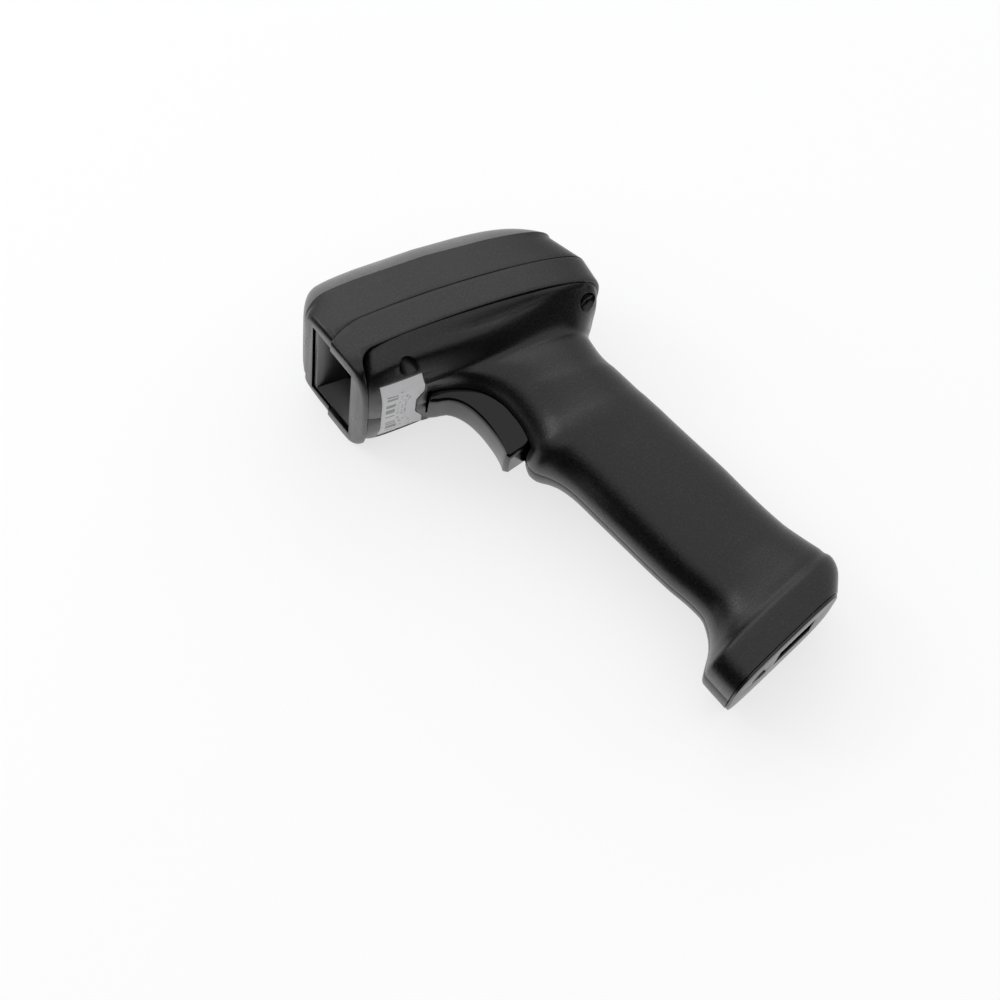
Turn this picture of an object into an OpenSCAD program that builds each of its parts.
// Hand-held bar code scanner: a hooded head on a pistol grip, lying on its right side.
// Scanner axes: x runs back from the window face, y up along the grip, z to the scanner's left.
// Head axes: h runs back along the head and k up across it, both turned by head_drop.

/* [Head] */
// Angle by which the head falls away behind the window face, degrees
head_drop = 18; // [14:0.5:22]
// Length of the head, from the window face to the back
head_len = 92; // [88:0.5:100]
// Width of the head at the chin
head_w = 65; // [62:0.5:72]
// How much narrower each side of the head is at its back
head_taper = 3.6; // [2:0.2:6]
// How far each side leans in from the chin to the upper ridge
side_lean = 3.5; // [2:0.25:5]
// Height of the ridge above the head's axis
ridge_k = 20.3; // [18:0.1:23]
// Rise of the crowned top above the ridge
crown = 12; // [8:0.5:14]
// Height of the cover's lower edge above the head's axis
cover_k = 7.5; // [5:0.1:9]
// Height of the band's lower edge above the head's axis
band_k = -2.8; // [-4:0.1:-1.5]
// Depth of the chin below the head's axis
chin_k = 17.6; // [16:0.1:19]
// Step from the band in to the body below it
band_step = 1; // [0.6:0.1:1.6]
// Width of the window face on each side of the mouth
mouth_side = 7.75; // [6.5:0.25:10]
// Height of the mouth in the window face
mouth_h = 20.6; // [18:0.2:21.5]
// How far the jaw stands forward of the cover
jaw_out = 0.7; // [0.3:0.1:1.2]

/* [Grip] */
// Length of the grip below the head, to the foot's lower face
grip_len = 93.4; // [85:0.2:110]
// Depth of the grip, from its front to its back, at half height
grip_depth = 39.2; // [37:0.2:44]
// Width of the grip under the head
grip_w = 38.4; // [36:0.2:42]
// Width of the grip at its narrowest
grip_low_w = 32.4; // [31:0.2:36]
// Width of the foot
foot_w = 38.4; // [36:0.2:42]
// Height of the foot's upright wall, at its front
foot_h = 13; // [11:0.1:15]
// Slope of the foot's lower face, degrees
foot_slope = 5.3; // [3:0.1:8]

/* [Walls] */
// Wall of the moulded shells
wall = 2.2; // [1.8:0.1:2.6]
// Play between moulded pieces that fit one in the other
play = 0.3; // [0.2:0.05:0.4]

/* [Trigger] */
// Width of the trigger
trigger_w = 16.4; // [14:0.2:18]
// Gap round the trigger in its slot
trigger_gap = 0.7; // [0.5:0.05:0.9]
// Diameter of the trigger's pin
pin_d = 3; // [2.5:0.1:3.4]
// Radial play of the trigger on its pin
pin_play = 0.05; // [0.03:0.01:0.08]
// Wall of the trigger
trigger_wall = 1.8; // [1.4:0.1:2.2]
// Wire of the trigger's return spring
spring_wire = 0.7; // [0.5:0.05:0.8]

/* [Electronics] */
// Thickness of the circuit boards
board_t = 1.6; // [1.2:0.1:2]
// Width of the main board in the grip
main_board_w = 20.5; // [18:0.5:22]
// Diameter of the beeper
beeper_d = 12; // [9:0.5:13]
// Outer width of the cable jack
jack_w = 15.2; // [14.6:0.1:16]
// Outer height of the cable jack
jack_h = 13.2; // [12.8:0.1:13.6]
// Depth of the cable jack
jack_l = 18; // [16:0.5:20]
// Diameter of the lens barrel
barrel_d = 11; // [9:0.5:12]

/* [Screws] */
// Thread diameter of the case screws
screw_d = 2.6; // [2.4:0.1:3]
// Head diameter of the case screws
screw_head_d = 5.2; // [4.8:0.1:5.6]
// Diameter of the wells that take the screw heads
well_d = 6.2; // [5.8:0.1:6.4]

/* [Hidden] */

$fn = 48;
eps = 0.01;
big = 300;
half_pts = 14;                  // steps from the front edge to the back edge of a section
chin_half = head_w/2;
mouth_w = head_w - 2*mouth_side;
ridge_half = chin_half - side_lean;
shell_black = [0.10, 0.10, 0.105];
gloss_black = [0.05, 0.05, 0.055];
steel = [0.72, 0.73, 0.75];
board_green = [0.05, 0.32, 0.18];
part_dark = [0.14, 0.14, 0.15];

// Places that several pieces share, in scanner axes
function hk(h, k) = [h*cos(head_drop) + k*sin(head_drop), k*cos(head_drop) - h*sin(head_drop)];
function h_of(x, y) = x*cos(head_drop) - y*sin(head_drop);
function k_of(x, y) = x*sin(head_drop) + y*cos(head_drop);
function clamp(v, lo, hi) = min(max(v, lo), hi);

// Arched edges of the head, as heights above its axis at a distance back along it
function ridge_at(h) = ridge_k - pow(h - crown_h, 2)/600 - 3*pow(max(4 - h, 0)/8.6, 2);
function cover_at(h) = cover_k - pow(h - 0.5*head_len, 2)/680 - 3.4*pow(max(12 - h, 0)/12, 2);
function band_at(h) = band_k - pow(h - 0.57*head_len, 2)/690;
crown_h = 0.41*head_len;        // where the crowned top is highest
brow_h = -4.6;                  // front edge of the crowned top

// One point of a rounded section: t runs from 0 at the front edge to 1 at the back edge,
// a section is [front h, back h, half width in front, half width behind, front power, back power]
function section_u(s, t) =
    let (a = 180*t, n = a < 90 ? s[4] : s[5], c = cos(a))
    -sign(c)*pow(abs(c), 2/n);
function section_z(s, t) =
    let (a = 180*t, n = a < 90 ? s[4] : s[5], u = section_u(s, t))
    (s[2]*(1 - u)/2 + s[3]*(1 + u)/2)*pow(abs(sin(a)), 2/n);
function section_h(s, t) = s[0] + (s[1] - s[0])*(1 + section_u(s, t))/2;

// A solid through closed rings of equal length, with a fan at each end
module loft(rings) {
    n = len(rings[0]);
    m = len(rings);
    pts = [for (r = rings) each r];
    ends = [for (r = [rings[0], rings[m - 1]]) [for (i = [0:2]) centre(r, i)]];
    faces = concat(
        [for (j = [0:m - 2], i = [0:n - 1]) [j*n + i, j*n + (i + 1)%n, (j + 1)*n + i]],
        [for (j = [0:m - 2], i = [0:n - 1]) [j*n + (i + 1)%n, (j + 1)*n + (i + 1)%n, (j + 1)*n + i]],
        [for (i = [0:n - 1]) [m*n, (i + 1)%n, i]],
        [for (i = [0:n - 1]) [m*n + 1, (m - 1)*n + i, (m - 1)*n + (i + 1)%n]]
    );
    polyhedron(points = concat(pts, ends), faces = faces, convexity = 6);
}
function centre(ring, i) = sum_of([for (p = ring) p[i]])/len(ring);
function sum_of(v, i = 0) = i < len(v) ? v[i] + sum_of(v, i + 1) : 0;

// The head
// Sections from the chin up to the ridge: [height, back end, half width]; inset shrinks them
function head_levels(inset) = [
    [-chin_k + inset, -1.0*inset - 8, 13],
    [-chin_k + 1.1 + inset*0.8, -6, 20 - inset],
    [-chin_k + 2.6 + inset*0.5, -4, 25.6 - inset],
    [-chin_k + 4.6, -2.6, chin_half - 2.6 - inset],
    [-chin_k + 7, -1.2, chin_half - 0.5 - inset],
    [-chin_k + 10, -0.4, chin_half - inset],
];

function head_ring(front, back, half, inset, rise) = [
    for (i = [0:2*half_pts - 1])
        let (t = i <= half_pts ? i/half_pts : 2 - i/half_pts,
             s = [front, back, half, half - head_taper, 9, 7],
             h = section_h(s, t),
             z = section_z(s, t)*(i <= half_pts ? 1 : -1),
             p = hk(h, rise(h)))
        [p[0], p[1], z]
];

// Outline of the whole head, before its pieces are parted; inset gives the inner surface
module head_solid(inset = 0) {
    front = -16 + inset;
    low = [for (v = head_levels(inset))
        head_ring(front, head_len - 2 + v[1] - inset, v[2], inset, function (h) v[0])];
    at_band = head_ring(front, head_len - 2 - inset, chin_half - 0.2 - inset, inset,
                        function (h) band_at(h));
    at_cover = head_ring(front, head_len - 3.6 - inset, chin_half - 1.2 - inset, inset,
                         function (h) cover_at(max(h, 12)));
    at_ridge = head_ring(brow_h + inset, head_len - 10.7 - inset, ridge_half - inset, inset,
                         function (h) ridge_at(h) - inset*0.6);
    under_ridge = [for (p = at_ridge) let (q = hk(0, -1.1)) [p[0] + q[0]*1.3, p[1] + q[1], p[2]*1.004]];
    top = [for (q = [0.94, 0.8, 0.62, 0.42, 0.24, 0.1, 0.02]) [
        for (p = at_ridge)
            let (h0 = h_of(p[0], p[1]),
                 h = crown_h + (h0 - crown_h)*pow(q, h0 < crown_h ? 1/8 : 1/4),
                 c = hk(h, ridge_at(h) - inset*0.6 + (crown - inset*0.5)*(1 - q)))
            [c[0], c[1], p[2]*sqrt(q)]
    ]];
    rings = concat(low, [at_band, at_cover, under_ridge, at_ridge], top);
    loft([for (j = [len(rings) - 1:-1:0]) rings[j]]);
}

// Regions that part the head: above the cover's lower edge, and above the band's
module above_line(edge, lift = 0) {
    linear_extrude(height = big, center = true)
        polygon(concat(
            [for (i = [0:24]) let (h = -20 + i*(head_len + 40)/24) hk(h, edge(h) + lift)],
            [hk(head_len + 20, 120), hk(-20, 120)]
        ));
}

// Hollow head, with its window face cut square to x
module head_shell(thick, front) {
    difference() {
        intersection() {
            head_solid(0);
            translate([big/2 + front, 0, 0]) cube(big, center = true);
        }
        intersection() {
            head_solid(thick);
            translate([big/2 + face_t, 0, 0]) cube(big, center = true);
        }
        translate([0, mouth_y, 0]) cube([4*face_t, mouth_h, mouth_w], center = true);
    }
}

face_t = wall + 0.3;            // wall behind the window face
band_wall = 1.5;                // wall of the band
mouth_y = -0.15;                // middle of the mouth
chin_ring = 6.2;                // depth of the ring that wraps the nose
seam_r = 6;                     // round where the ring's edge turns into the band's edge

// The region that belongs to the ring and band: in front of the seam, or above the band's edge
module band_region() {
    linear_extrude(height = big, center = true)
        polygon(concat(
            [hk(-20, -60), hk(chin_ring - 1, -60)],
            [for (i = [0:6]) let (a = 180 - 15*i)
                hk(chin_ring + seam_r + seam_r*cos(a), band_at(chin_ring + seam_r) - seam_r + seam_r*sin(a))],
            [for (i = [0:20]) let (h = chin_ring + seam_r + 1 + i*(head_len + 20)/20) hk(h, band_at(h))],
            [hk(head_len + 30, 60), hk(-20, 60)]
        ));
}

module screw_places() {
    for (s = [-1, 1]) {
        translate([front_screw_x, 0, s*front_screw_z]) children();
        translate([back_screw_x, 0, s*back_screw_z]) children();
    }
}
front_screw_x = 15.4;
front_screw_z = chin_half - 6.5;
back_screw_x = hk(head_len - 7.4, -11)[0];
back_screw_z = chin_half - 13.6;
function screw_xs() = [front_screw_x, back_screw_x];
function screw_zs() = [front_screw_z, back_screw_z];
// Height of the seat that a screw's head bears on, above the band's lower edge at that screw
function seat_y(x) = (band_at(x/cos(head_drop)) - x*sin(head_drop))/cos(head_drop) - 2.2;
boss_d = screw_d + 3.4;

module top_cover() {
    color(shell_black) {
        difference() {
            union() {
                intersection() {
                    head_shell(wall, 0);
                    above_line(function (h) cover_at(h));
                }
                intersection() {
                    for (i = [0, 1], s = [-1, 1])
                        translate([screw_xs()[i], seat_y(screw_xs()[i]) + 1, s*screw_zs()[i]])
                            rotate([-90, 0, 0]) cylinder(d = boss_d, h = 60);
                    head_solid(band_wall + play);
                    above_line(function (h) band_at(h), play);
                }
            }
            for (i = [0, 1], s = [-1, 1])
                translate([screw_xs()[i], seat_y(screw_xs()[i]) + 1, s*screw_zs()[i]])
                    rotate([-90, 0, 0]) cylinder(d = screw_d - 0.4, h = screw_reach + 3);
            indicator_slot(play/2, 30);
        }
    }
}
screw_reach = 15;               // length of a case screw's thread above its seat

module bezel_band() {
    color(shell_black)
    intersection() {
        difference() {
            head_shell(band_wall, -jaw_out);
            above_line(function (h) cover_at(h));
        }
        band_region();
    }
}

// The body: the underside of the head, the grip and the foot, as two halves
// A body section: [front x, front y, back x, back y, half width in front, behind, powers]
grip_top = -68;                 // height where the grip proper starts, at its front
lip_x = 32;                     // front of the grip, just under the trigger
function grip_y(share) = grip_top - share*grip_len;
function rear_x(share) = lip_x + 5.6 + grip_depth + 10*(share - 0.1);
function low_half(share) = grip_w/2 - 0.6 + (grip_low_w - grip_w + 1.2)/2*min(share/0.66, 1);

function under_head(h0, k0, h1, k1, w0, w1, n0, n1) =
    let (f = hk(h0, k0), r = hk(h1, k1)) [f[0], f[1], r[0], r[1], w0, w1, n0, n1];
// How far the inner surface is lifted off a section's plane where the body closes under the head, in walls
function lift_at(j) = j < 3 || j > 13 ? 0 : [0.2, 0.5, 0.9, 1.1, 1.1, 1.1, 1, 0.8, 0.5, 0.3, 0.1][j - 3];

// Back edge of the neck: its top follows the length of the head, its foot keeps to the grip
function neck_x(x, share) = x + share*(head_len - 92)*cos(head_drop);

function body_sections() = let (b = chin_half - band_step, r = chin_half - band_step - head_taper, g = grip_w/2) [
    under_head(chin_ring - 1, band_k + 4, head_len - 3, band_k + 4, b - 0.2, r - 0.2, 8, 6.5),
    under_head(chin_ring - 1, -6, head_len - 3.3, -5.4, b - 0.3, r - 0.8, 8, 6.5),
    under_head(chin_ring - 1, -9.5, head_len - 4, -7.9, b - 0.5, r - 3.4, 8, 6),
    under_head(chin_ring - 1, -chin_k + 5, head_len - 5, -9.8, b - 1.4, r - 6.6, 8, 5.5),
    under_head(chin_ring - 1, -chin_k + 3.4, head_len - 6, -11.2, b - 4, r - 8.4, 8, 5.2),
    under_head(chin_ring - 0.6, -chin_k + 2, head_len - 6.9, -12.3, b - 7.8, g - 0.4, 8, 5),
    under_head(chin_ring + 0.4, -chin_k + 1.1, head_len - 7.7, -13.3, b - 12, g + 0.5, 7.5, 4.6),
    under_head(chin_ring + 2.6, -chin_k + 0.4, head_len - 8.6, -14.7, 15.8, g + 3.1, 6, 3.7),
    concat([24.2, -26.3], hk(head_len - 8.9, -16.6), [14.4, g + 3.5, 4, 3.5]),
    concat([27.6, -28.4], [neck_x(73.7, 1), -43.6], [g - 3, g + 2.5, 3.2, 3.3]),
    concat([31.6, -32.2], [neck_x(73.3, 0.95), -46.6], [g - 0.5, g + 1, 2.8, 3]),
    concat([33.9, -37.2], [neck_x(73.5, 0.85), -51.0], [g, g, 2.8, 2.8]),
    concat([35.4, -44.0], [neck_x(74.1, 0.7), -56.0], [g, g, 2.8, 2.8]),
    concat([35.2, -50.0], [neck_x(74.7, 0.5), -60.8], [g, g, 2.8, 2.8]),
    concat([34.2, -55.6], [neck_x(75.2, 0.35), -65.2], [g - 0.2, g - 0.2, 2.8, 2.8]),
    concat([32.9, -59.4], [neck_x(75.6, 0.2), -68.4], [g - 0.3, g - 0.3, 2.8, 2.8]),
    concat([lip_x, -62.2], [neck_x(75.8, 0.1), -70.6], [g - 0.4, g - 0.4, 2.8, 2.8]),
    concat([lip_x + 0.5, -64.8], [76.0, -72.6], [g - 0.4, g - 0.4, 2.8, 2.8]),
    concat([lip_x + 2.6, grip_y(0)], [76.3, grip_y(0.075)], [g - 0.5, g - 0.5, 2.8, 2.8]),
    grip_section(0.05, 4.9, 0.115, -0.2, 0),
    grip_section(0.11, 6.3, 0.17, -0.2, 0),
    grip_section(0.21, 7.3, 0.265, 0, 0),
    grip_section(0.34, 8.5, 0.38, 0.2, 0),
    grip_section(0.45, 9.5, 0.475, 0, 0),
    grip_section(0.56, 10.7, 0.57, 0.1, 0),
    grip_section(0.65, 12.0, 0.645, 0.5, 0.3),
    grip_section(0.705, 12.3, 0.695, 1.2, 0.7),
    grip_section(0.763, 10.3, 0.745, 2.0, 1.4),
    grip_section(0.812, 7.0, 0.785, 2.6, 2.1),
    foot_section(foot_h, 1.1, 12, 0.5, 0),
    foot_section(foot_h - 1.2, 0.2, 10.4, 0.1, 0.1),
    foot_section(foot_h - 2.6, 0, 9, 0.2, 0),
    foot_section(foot_h - 6, 0.15, 6.7, 0.9, 0),
    foot_section(4.2, 0.3, 4.3, 2.4, 0),
    foot_section(1.5, 0.4, 1.9, 4.8, 0),
    foot_section(-2.6, 0.5, -2.6, 9, 0),
];
function grip_section(front, dx, back, rx, dw) = let (w = low_half(front) + dw) [
    lip_x + dx, grip_y(front), rear_x(back) + rx, grip_y(back), w, w, 2.9, 2.9
];
// Foot sections are given by their height above the foot's lower face, front and back
foot_front = [lip_x + 1.2, grip_y(1)];
foot_back_x = lip_x + grip_depth + 15;
function foot_y(x) = foot_front[1] + (x - foot_front[0])*tan(foot_slope);
function foot_section(up, dx, up_back, cut, dw) = let (x1 = foot_back_x + 1 - cut) [
    lip_x + dx, foot_y(lip_x + dx) + up, x1, foot_y(x1) + up_back,
    foot_w/2 + dw, foot_w/2 + dw, 3.6, 3.6
];

// One point of a body section on the left side, moved in by the inset and up by the lift
function body_point(s, t, inset, lift = 0) =
    let (len_fr = norm([s[2] - s[0], s[3] - s[1]]),
         dir = [(s[2] - s[0])/len_fr, (s[3] - s[1])/len_fr],
         r = [inset, len_fr - inset, s[4] - inset, s[5] - inset, s[6], s[7]],
         d = section_h(r, t))
    [s[0] + dir[0]*d - dir[1]*lift, s[1] + dir[1]*d + dir[0]*lift, section_z(r, t)];

// Half of the body as a shell: each section is its outer line and its inner line
module body_half_shell() {
    sections = body_sections();
    n = half_pts + 1;
    m = len(sections);
    ring = 2*n;
    pts = [for (j = [0:m - 1]) each concat(
        [for (i = [0:half_pts]) body_point(sections[j], i/half_pts, 0)],
        [for (i = [0:half_pts]) body_point(sections[j], 1 - i/half_pts, wall, lift_at(j)*wall)]
    )];
    faces = concat(
        [for (j = [0:m - 2], i = [0:ring - 1])
            [j*ring + i, j*ring + (i + 1)%ring, (j + 1)*ring + i]],
        [for (j = [0:m - 2], i = [0:ring - 1])
            [j*ring + (i + 1)%ring, (j + 1)*ring + (i + 1)%ring, (j + 1)*ring + i]],
        [for (j = [0, m - 1], i = [0:half_pts - 1])
            let (a = j*ring + i, b = j*ring + i + 1, c = j*ring + ring - 2 - i, d = j*ring + ring - 1 - i)
            each (j == 0 ? [[a, c, b], [a, d, c]] : [[a, b, c], [a, c, d]])]
    );
    polyhedron(points = pts, faces = faces, convexity = 8);
}

// A closed solid through the last sections, for the foot's cap
module foot_solid(inset) {
    sections = body_sections();
    m = len(sections);
    loft([for (j = [m - 7:m - 1]) [
        for (i = [0:2*half_pts - 1])
            let (t = i <= half_pts ? i/half_pts : 2 - i/half_pts,
                 p = body_point(sections[j], t, inset))
            [p[0], p[1], i <= half_pts ? p[2] : -p[2]]
    ]]);
}

// Everything above the foot's slanted lower face, raised by lift
module above_foot(lift) {
    translate([foot_front[0], foot_front[1] + lift, 0])
        rotate([0, 0, foot_slope])
            translate([-big/2, 0, -big/2]) cube(big);
}

cap_lip = 1.1;                  // height of the cap's edge below the body
cap_plug = 3.2;                 // height of the cap's plug inside the foot
base_screw_x = lip_x + 13.5;
base_boss_y = foot_y(base_screw_x) + 6;
port_x = lip_x + 30;
port_w = 16.4;
port_h = 14;

// Side outline of the trigger: the line that the finger touches, then the line behind it
trigger_top = [18.4, -27.0];
trigger_low = grip_top + 10.1;
trigger_front = [
    trigger_top, [20.8, -28.3], [24.2, -29.9], [26.9, -33.8], [28.2, -38.5], [28.6, -43.5],
    [28.4, -49], [27.6, -53.4], [26.9, trigger_low + 1.7], [27.7, trigger_low + 0.5]
];
trigger_back = [
    [19.6, -25.8], [22.4, -24.6], [26.5, -23.6], [30.6, -26.4], [33.5, -30.8], [36.4, -34.6],
    [38.4, -38.6], [39.6, -47], [38.6, trigger_low + 1.5], [34.4, trigger_low]
];
pivot = [27.6, -20.8];
pusher_y = -47.5;
switch_x = 44.4;
slot_half = trigger_w/2 + trigger_gap;

module trigger_slot() {
    linear_extrude(height = 2*slot_half, center = true)
        polygon([
            [trigger_top[0] - trigger_gap - 0.4, -34], [trigger_top[0] - trigger_gap, -27.2],
            [20.2, -24.0], [24, -14], [44, -22], [44, trigger_low - trigger_gap], [33, trigger_low - 2*trigger_gap],
            [20, trigger_low - 2*trigger_gap]
        ]);
}

module body_half() {
    difference() {
        union() {
            difference() {
                union() {
                    body_half_shell();
                    screw_wells();
                }
                translate([4, mouth_y, 0]) cube([24, mouth_h + 1.2, mouth_w + 1], center = true);
                band_region();
                trigger_slot();
                below_foot_rim();
            }
            pin_boss();
        }
        for (i = [0, 1]) translate([screw_xs()[i], seat_y(screw_xs()[i]), screw_zs()[i]])
            rotate([-90, 0, 0]) {
                translate([0, 0, -60]) cylinder(d = well_d, h = 60);
                cylinder(d = screw_d + 2*play, h = 20);
            }
        translate([pivot[0], pivot[1], 0]) cylinder(d = pin_d + 0.04, h = pin_half + 0.2);
    }
}
module below_foot_rim() {
    difference() {
        translate([0, foot_front[1] - 10, -big/2]) cube([big, 30, big]);
        above_foot(cap_lip);
    }
}
pin_half = trigger_w/2 + trigger_gap + 4.4;

// Wells for the case screws, trimmed to the body's inside
module screw_wells() {
    intersection() {
        for (i = [0, 1]) let (y = seat_y(screw_xs()[i]))
            translate([screw_xs()[i], y - 30, screw_zs()[i]]) rotate([-90, 0, 0])
                cylinder(d = well_d + 2.6, h = 31.8);
        body_core(0.6);
    }
}
// The solid body under the band, without the foot, to trim pieces inside it
module body_core(inset) {
    sections = body_sections();
    loft([for (j = [0:9]) [
        for (i = [0:2*half_pts - 1])
            let (t = i <= half_pts ? i/half_pts : 2 - i/half_pts,
                 p = body_point(sections[j], t, inset, lift_at(j)*inset))
            [p[0], p[1], i <= half_pts ? p[2] : -p[2]]
    ]]);
}
module pin_boss() {
    intersection() {
        translate([pivot[0], pivot[1], slot_half + 0.5]) cylinder(d = pin_d + 4.4, h = 40);
        body_core(0.6);
    }
}

// Standoffs in the left half that carry the main board
board_z = jack_h/2 + 0.2;       // face of the main board towards the middle
board_x = lip_x + 16.5;
board_top = -38;
board_low = foot_y(port_x) + 7.5;
board_holes = [[board_x + 3, board_top - 19.5], [board_x + main_board_w - 3, board_top - 6],
               [board_x + 3, board_low + 12], [board_x + main_board_w - 3, board_low + 26]];
module standoffs() {
    difference() {
        intersection() {
            for (p = board_holes) translate([p[0], p[1], board_z + board_t])
                cylinder(d = 5.4, h = 30);
            grip_core(0.6);
        }
        for (p = board_holes) translate([p[0], p[1], board_z + board_t - 1])
            cylinder(d = 1.8, h = 6);
    }
}
module grip_core(inset) {
    sections = body_sections();
    loft([for (j = [9:25]) [
        for (i = [0:2*half_pts - 1])
            let (t = i <= half_pts ? i/half_pts : 2 - i/half_pts,
                 p = body_point(sections[j], t, inset))
            [p[0], p[1], i <= half_pts ? p[2] : -p[2]]
    ]]);
}

// Boss in the left half that takes the cap's screw, on a rib from the front wall
module base_boss() {
    difference() {
        union() {
            translate([base_screw_x, base_boss_y, 0]) rotate([-90, 0, 0]) cylinder(d = 6.8, h = 11);
            intersection() {
                translate([lip_x, base_boss_y, 0]) cube([base_screw_x - lip_x, foot_h - 7.5, 12]);
                foot_solid(0.6);
            }
        }
        translate([base_screw_x, base_boss_y - 1, 0]) rotate([-90, 0, 0]) cylinder(d = screw_d - 0.4, h = 11);
    }
}

module body_left() {
    color(shell_black) {
        body_half();
        standoffs();
        base_boss();
    }
}
module body_right() {
    color(shell_black) mirror([0, 0, 1]) body_half();
}

module base_cap() {
    color(shell_black)
    difference() {
        union() {
            difference() {
                foot_solid(play);
                above_foot(cap_lip);
                below_foot();
            }
            difference() {
                foot_solid(wall + play);
                above_foot(cap_lip + cap_plug);
                below_foot();
            }
        }
        translate([port_x, foot_y(port_x), 0]) cube([port_w, 20, port_h], center = true);
        translate([base_screw_x, foot_y(base_screw_x) - 5, 0]) rotate([-90, 0, 0]) cylinder(d = screw_d + 2*play, h = 20);
        translate([base_screw_x, foot_y(base_screw_x) - 18, 0]) rotate([-90, 0, 0]) cylinder(d = well_d, h = 20);
    }
}
module below_foot() {
    difference() {
        translate([-big/2, foot_front[1] - big/2, -big/2]) cube([big, big/2 + 30, big]);
        above_foot(0);
    }
}

// A pan-head screw along y, with its head's seat at the origin
module screw(reach) {
    rotate([-90, 0, 0]) {
        cylinder(d = screw_d - 0.4, h = reach);
        difference() {
            translate([0, 0, -2.2]) cylinder(d = screw_head_d, h = 2.2);
            for (a = [0, 90]) rotate([0, 0, a]) translate([-1.4, -0.35, -2.3]) cube([2.8, 0.7, 1.3]);
        }
    }
}
module case_screws() {
    color(steel)
    for (i = [0, 1], s = [-1, 1])
        translate([screw_xs()[i], seat_y(screw_xs()[i]), s*screw_zs()[i]]) screw(screw_reach);
}
module base_screw() {
    color(steel) translate([base_screw_x, foot_y(base_screw_x) + 2, 0]) screw(12);
}

// The trigger: a hollow curved lever on a cross pin, with a rib that pushes the switch
trigger_r = 1.7;                // round of the finger face at each side
function finger_cut(z) =
    let (e = max(abs(z) - trigger_w/2 + trigger_r, 0))
    0.35*pow(2*z/trigger_w, 2) + trigger_r - sqrt(pow(trigger_r, 2) - pow(e, 2));
module trigger_form() {
    n = len(trigger_front);
    half = trigger_w/2;
    zs = [for (v = [half, half - 0.15, half - 0.6, half - 1.2, half - 2, half/2]) v, 0,
          for (v = [half/2, half - 2, half - 1.2, half - 0.6, half - 0.15, half]) -v];
    pts = [for (z = zs) let (c = finger_cut(z)) each concat(
        [for (i = [0:n - 1]) trigger_front[i] + c*[i < n - 2 ? 0.9 : 0.2, i < 3 ? 0.1 : (i < n - 2 ? 0 : 0.5)]],
        [for (i = [n - 1:-1:0]) trigger_back[i] + (i == n - 1 ? [0, c*0.5] : [0, 0])]
    )];
    m = len(zs);
    ring = 2*n;
    polyhedron(points = [for (j = [0:m - 1], i = [0:ring - 1]) concat(pts[j*ring + i], zs[j])], faces = concat(
        [for (j = [0:m - 2], i = [0:ring - 1]) [j*ring + i, j*ring + (i + 1)%ring, (j + 1)*ring + i]],
        [for (j = [0:m - 2], i = [0:ring - 1]) [j*ring + (i + 1)%ring, (j + 1)*ring + (i + 1)%ring, (j + 1)*ring + i]],
        [for (j = [0, m - 1], i = [0:n - 2])
            let (a = j*ring + i, b = j*ring + i + 1, c = j*ring + ring - 2 - i, d = j*ring + ring - 1 - i)
            each (j == 0 ? [[a, c, b], [a, d, c]] : [[a, b, c], [a, c, d]])]
    ), convexity = 6);
}
hub_low = -slot_half + trigger_gap + 1;
hub_high = 2.6;
module trigger() {
    color(gloss_black)
    difference() {
        union() {
            difference() {
                trigger_form();
                linear_extrude(height = trigger_w - 2*trigger_wall, center = true)
                    polygon([
                        [24.6 + trigger_wall, -29.4], [28.3 + trigger_wall, -36], [28.7 + trigger_wall, -45],
                        [27.6 + trigger_wall, trigger_low + 1.3 + trigger_wall],
                        [44, trigger_low + 1.3 + trigger_wall], [44, -26], [30, -20]
                    ]);
            }
            translate([pivot[0], pivot[1], hub_low]) cylinder(d = pin_d + 3.6, h = hub_high - hub_low);
            translate([0, 0, hub_low]) linear_extrude(height = hub_high - hub_low)
                polygon([[pivot[0] - 2.8, pivot[1] - 1], [pivot[0] - 4.4, -25.4], [26, -29.4], [29.6, -31.6],
                         [pivot[0] + 2.8, pivot[1] - 1]]);
            translate([28.4 + trigger_wall/2, pusher_y - 2, 1.2])
                cube([switch_x - plunger_out - 0.35 - 28.4 - trigger_wall/2, 4, 4.4]);
        }
        translate([pivot[0], pivot[1], -20]) cylinder(d = pin_d + 2*pin_play, h = 40);
    }
}
module trigger_pin() {
    color(steel) translate([pivot[0], pivot[1], -pin_half]) cylinder(d = pin_d, h = 2*pin_half);
}

// Torsion spring round the pin: one leg bears on the trigger's back, the other on the body
coil_r = pin_d/2 + spring_wire/2 + 0.35;
coil_z = hub_high + 0.3 + spring_wire/2;
coil_turn = 818;                // how far the wire winds round the pin, degrees
function coil_point(i, steps) =
    let (a = coil_turn*i/steps)
    [pivot[0] + coil_r*cos(a), pivot[1] + coil_r*sin(a), coil_z + coil_turn/360*(spring_wire + 0.1)*i/steps];
module trigger_spring() {
    steps = 32;
    rest = coil_z + coil_turn/360*(spring_wire + 0.1);
    path = concat(
        [[pivot[0] - 0.1, pivot[1] - 8.8, coil_z], [pivot[0] + coil_r - 0.5, pivot[1] - 2.4, coil_z]],
        [for (i = [0:steps]) coil_point(i, steps)],
        [[pivot[0] - 4, pivot[1] + 1.6, rest], [pivot[0] - 12, pivot[1] + 0.3, rest]]
    );
    color(steel) sweep(path, spring_wire/2, 8);
}

// A round wire along a path
module sweep(path, r, sides) {
    m = len(path);
    rings = [for (i = [0:m - 1])
        let (d = unit(path[min(i + 1, m - 1)] - path[max(i - 1, 0)]),
             u = unit(cross(d, abs(d[2]) > 0.8 ? [1, 0, 0] : [0, 0, 1])),
             v = cross(d, u))
        [for (k = [0:sides - 1]) path[i] + r*(cos(360*k/sides)*u - sin(360*k/sides)*v)]];
    loft(rings);
}
function unit(v) = v/norm(v);

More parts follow.
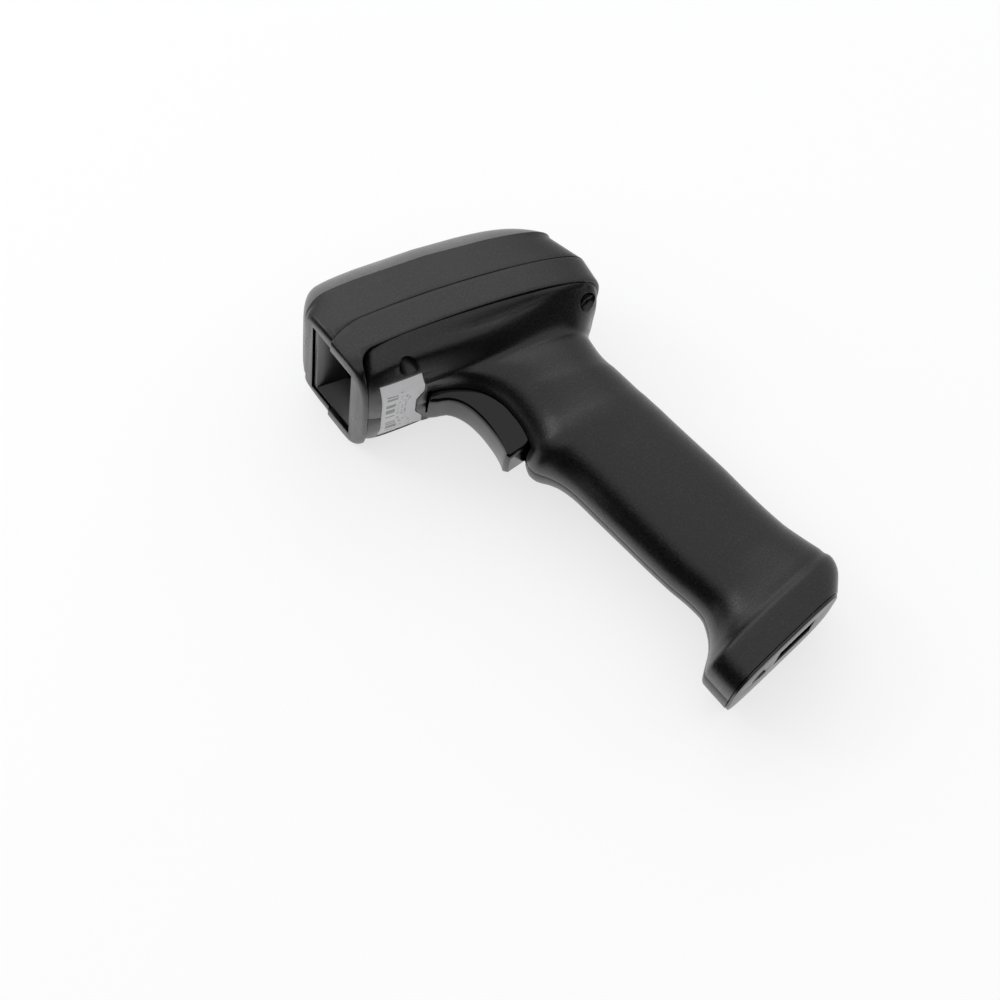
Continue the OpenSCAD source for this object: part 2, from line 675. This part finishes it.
// The switch that the trigger works
plunger_out = 2.6;
plunger_d = 2.6;
plunger_z = 3.4;
module trigger_switch() {
    color(part_dark)
    difference() {
        translate([switch_x, pusher_y - 5, board_z - 6.2]) cube([board_x - switch_x + 5, 10, 6.2]);
        translate([switch_x - 1, pusher_y, plunger_z]) rotate([0, 90, 0]) cylinder(d = plunger_d + 0.1, h = 6.5);
    }
}
module switch_plunger() {
    color([0.8, 0.1, 0.08]) translate([switch_x - plunger_out, pusher_y, plunger_z])
        rotate([0, 90, 0]) cylinder(d = plunger_d, h = plunger_out + 3);
}

// The nose: a funnel behind the mouth, with a clear window at its throat
throat_x = 13;
throat_y = -3;
throat_h = 9.5;
throat_w = mouth_w - 9;
module funnel(grow, back) {
    rim_h = mouth_h - 2*play - 2*1.1 + 2*grow;
    rim_w = mouth_w - 2*play - 2*1.1 + 2*grow;
    polyhedron(
        points = [
            for (e = [[0.6 - (grow > 0 ? 0 : 1), mouth_y, rim_h, rim_w], [throat_x + back, throat_y, throat_h + 2*grow, throat_w + 2*grow]])
                each [[e[0], e[1] - e[2]/2, -e[3]/2], [e[0], e[1] + e[2]/2, -e[3]/2],
                      [e[0], e[1] + e[2]/2, e[3]/2], [e[0], e[1] - e[2]/2, e[3]/2]]
        ],
        faces = [[0, 1, 2, 3], [7, 6, 5, 4], [4, 5, 1, 0], [5, 6, 2, 1], [6, 7, 3, 2], [7, 4, 0, 3]]
    );
}
module nose_liner() {
    color(shell_black)
    difference() {
        union() {
            funnel(1.1, 0);
            translate([throat_x + 0.6, throat_y, 0]) cube([3.2, throat_h + 5, throat_w + 5], center = true);
        }
        funnel(0, 1);
        translate([throat_x + 1.7, throat_y, 0]) cube([1.8, throat_h + 2.4, throat_w + 2.4], center = true);
    }
}
module scan_window() {
    color([0.45, 0.05, 0.06, 0.6])
        translate([throat_x + 1.6, throat_y, 0]) cube([1.4, throat_h + 2, throat_w + 2], center = true);
}

// The engine: chassis, lens, boards and light
chassis_x = throat_x + 5.2;
chassis_l = 31;
chassis_y = -1.6;
chassis_h = 14;
chassis_w = throat_w - 4.5;
module optics_chassis() {
    color(part_dark)
    difference() {
        translate([chassis_x, chassis_y - chassis_h/2, -chassis_w/2]) cube([chassis_l, chassis_h, chassis_w]);
        translate([chassis_x - 1, chassis_y - chassis_h/2 + 1.4, -chassis_w/2 + 1.4])
            cube([11, chassis_h - 2.8, chassis_w - 2.8]);
        translate([chassis_x + 18, chassis_y - chassis_h/2 + 1.4, -chassis_w/2 + 1.4])
            cube([chassis_l, chassis_h - 2.8, chassis_w - 2.8]);
        translate([chassis_x, chassis_y, 0]) rotate([0, 90, 0]) cylinder(d = barrel_d, h = chassis_l);
    }
}
barrel_x = chassis_x + 8;
module lens_barrel() {
    color(part_dark)
    translate([barrel_x, chassis_y, 0]) rotate([0, 90, 0]) difference() {
        cylinder(d = barrel_d, h = 14);
        translate([0, 0, -1]) cylinder(d = barrel_d - 3, h = 16);
    }
}
module lens() {
    color([0.6, 0.7, 0.85, 0.5])
    translate([barrel_x + 2, chassis_y, 0]) rotate([0, 90, 0]) intersection() {
        cylinder(d = barrel_d - 3, h = 5);
        translate([0, 0, 12]) sphere(r = 12, $fn = 64);
    }
}
engine_x = chassis_x + chassis_l;
module engine_board() {
    color(board_green) translate([engine_x, chassis_y - chassis_h/2, -chassis_w/2])
        cube([board_t, chassis_h, chassis_w]);
}
module sensor_chip() {
    color(part_dark) translate([engine_x - 1.8, chassis_y - 4, -(chassis_w - 6)/2]) cube([1.8, 8, chassis_w - 6]);
}
light_x = chassis_x - 1.7;
module light_board() {
    color(board_green) difference() {
        translate([light_x, chassis_y - chassis_h/2, -chassis_w/2]) cube([1.7, chassis_h, chassis_w]);
        translate([light_x - 1, chassis_y - 3.8, -(chassis_w - 10)/2]) cube([4, 7.6, chassis_w - 10]);
    }
}
module light_leds() {
    color([0.9, 0.85, 0.8])
    for (y = [-1, 1], i = [-1:1]) translate([light_x - 0.8, chassis_y + y*5.3 - 0.8, i*(chassis_w - 3)/3 - 1.5])
        cube([0.8, 1.6, 3]);
}

// Light pipe in the top of the cover, over a lamp on the engine board's lead
slot_h = 0.66*head_len;
slot_low = ridge_at(slot_h) + 0.6*crown - 2;
slot_top = ridge_at(slot_h) + 0.92*crown - 0.5;
module indicator_slot(grow, high) {
    p = hk(slot_h, slot_low);
    translate([p[0], p[1], 0]) rotate([0, 0, -head_drop]) translate([-2 - grow, 0, -6 - grow])
        cube([4 + 2*grow, high, 12 + 2*grow]);
}
module indicator_lens() {
    color([0.9, 0.95, 0.9, 0.6]) indicator_slot(0, slot_top - slot_low);
}

// The main board in the grip and what it carries
module main_board() {
    color(board_green) difference() {
        translate([board_x, board_low, board_z]) cube([main_board_w, board_top - board_low, board_t]);
        for (p = board_holes) translate([p[0], p[1], board_z - 1]) cylinder(d = 2.4, h = 4);
    }
}
module board_screws() {
    color(steel) for (p = board_holes) translate([p[0], p[1], board_z]) {
        translate([0, 0, -1.3]) cylinder(d = 3.8, h = 1.3);
        cylinder(d = 1.8, h = board_t + 4);
    }
}
module decoder_chip() {
    color(part_dark) translate([board_x + 6, board_top - 46, board_z - 1.2]) cube([12, 12, 1.2]);
}
module beeper() {
    color(part_dark) translate([board_x + main_board_w/2, board_top - 26, board_z - 6]) difference() {
        cylinder(d = beeper_d, h = 6);
        translate([0, 0, -1]) cylinder(d = 2, h = 4);
    }
}

jack_y = foot_y(port_x) + 6.5;
module cable_jack() {
    color(part_dark) difference() {
        translate([port_x - jack_w/2, jack_y, -jack_h/2]) cube([jack_w, jack_l, jack_h]);
        translate([port_x - 5.95, jack_y - 1, -3.6]) cube([11.9, 13.5, 7.2]);
        translate([port_x - 3, jack_y - 1, -5.4]) cube([6, 13.5, 3]);
    }
}
module jack_contacts() {
    color([0.85, 0.68, 0.3]) for (i = [0:7])
        translate([port_x - 3.57 + i*1.02 - 0.2, jack_y + 1.5, 2.2]) cube([0.4, 11, 1.4]);
}

// Flat cable from the engine board down to the main board
module ribbon_cable() {
    color([0.75, 0.75, 0.72]) {
        linear_extrude(height = 10, center = true)
            polygon(concat(
                [for (p = ribbon_line()) p],
                [for (i = [len(ribbon_line()) - 1:-1:0]) ribbon_line()[i] + [0.5, 0.35]]
            ));
        translate([board_x + 11, board_top - 4, -5.6]) cube([4, 5, board_z + 5.6]);
    }
}
function ribbon_line() = [
    [engine_x + board_t, chassis_y - 5], [engine_x + board_t + 5, chassis_y - 7],
    [engine_x + board_t + 9, chassis_y - 14], [board_x + 14, -24], [board_x + 13, board_top + 0.8]
];

// Lays the scanner on its right side: on its chin, the back of its head and its foot
rest_chin = [4.7, -9.5, -(chin_half - 0.9)];
rest_back = concat(hk(0.763*head_len, band_k - 0.5), [-(chin_half - 3.3)]);
rest_foot = [lip_x + 25.1, foot_y(lip_x + 25.1) + 1.1, -foot_w/2];
rest_up = unit(cross(rest_foot - rest_chin, rest_back - rest_chin));
rest_x = unit([1, 0, 0] - rest_up[0]*rest_up);
rest_y = cross(rest_up, rest_x);
origin = [port_x, foot_y(port_x), 0];
module lay() {
    multmatrix([
        [rest_x[0], rest_x[1], rest_x[2], 0],
        [rest_y[0], rest_y[1], rest_y[2], 0],
        [rest_up[0], rest_up[1], rest_up[2], 0],
        [0, 0, 0, 1]
    ]) translate(-origin) children();
}

lay() top_cover();
lay() bezel_band();
lay() body_left();
lay() body_right();
lay() base_cap();
lay() case_screws();
lay() base_screw();
lay() trigger();
lay() trigger_pin();
lay() trigger_spring();
lay() trigger_switch();
lay() switch_plunger();
lay() nose_liner();
lay() scan_window();
lay() optics_chassis();
lay() lens_barrel();
lay() lens();
lay() engine_board();
lay() sensor_chip();
lay() light_board();
lay() light_leds();
lay() indicator_lens();
lay() main_board();
lay() decoder_chip();
lay() beeper();
lay() board_screws();
lay() cable_jack();
lay() jack_contacts();
lay() ribbon_cable();
